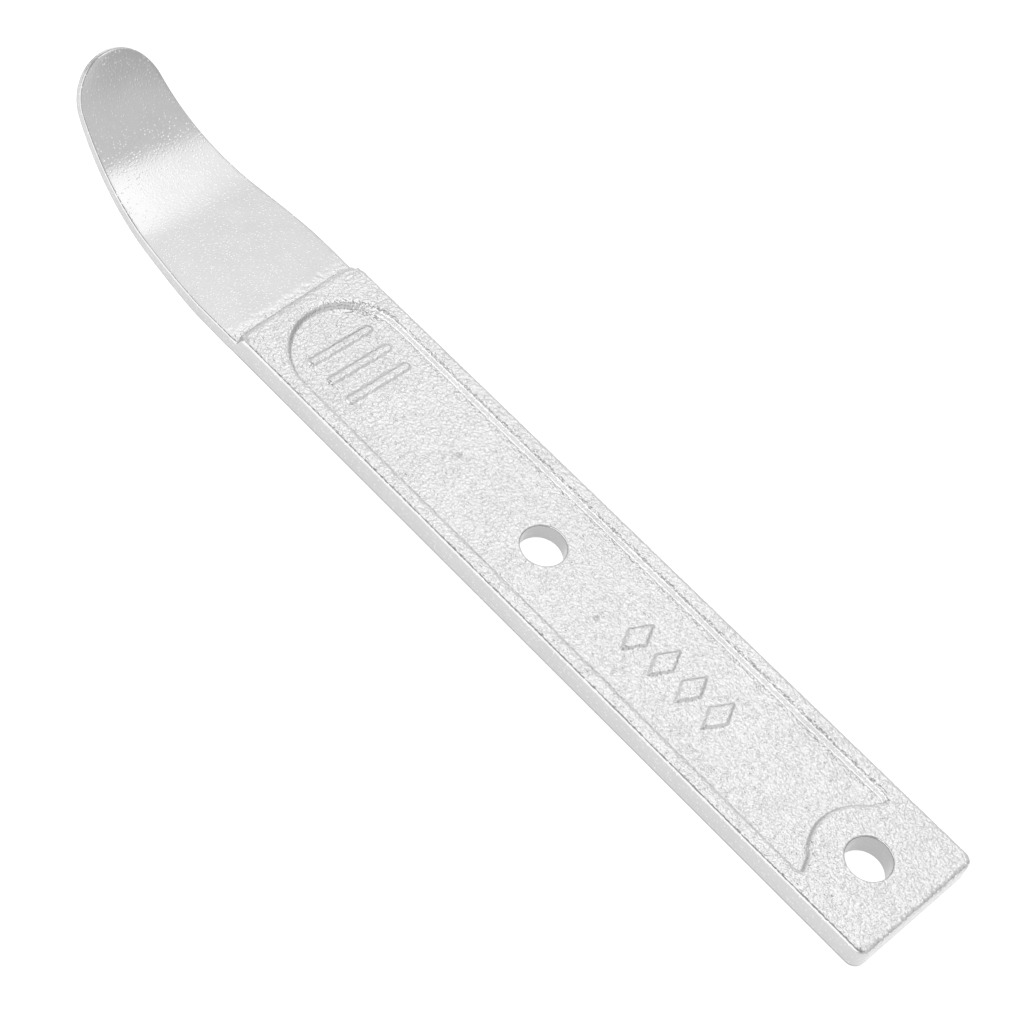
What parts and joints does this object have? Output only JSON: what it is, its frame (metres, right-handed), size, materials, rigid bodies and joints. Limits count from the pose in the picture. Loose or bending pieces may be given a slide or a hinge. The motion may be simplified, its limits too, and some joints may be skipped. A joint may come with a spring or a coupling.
{
  "type": "tyre lever",
  "caption": "One-piece flat steel tyre lever: bar handle with a shallow sunk panel and plain holes, stepping down to a thin upswept round-tipped spoon blade.",
  "frame": {"origin": "under the middle of the lever's overall length and width, at the level of its flat underside", "axes": "+X from the handle's end to the blade's tip, +Y across the bar, +Z out of the face with the sunk panel, the way the blade sweeps"},
  "size_m": [0.2004, 0.0278, 0.0185],
  "materials": {
    "plated_steel": "bright nickel plating: satin over a fine cast grain on the handle, smoother on the blade"
  },
  "bodies": {
    "root": {"tyre_lever": "plated_steel"}
  },
  "joints": []
}
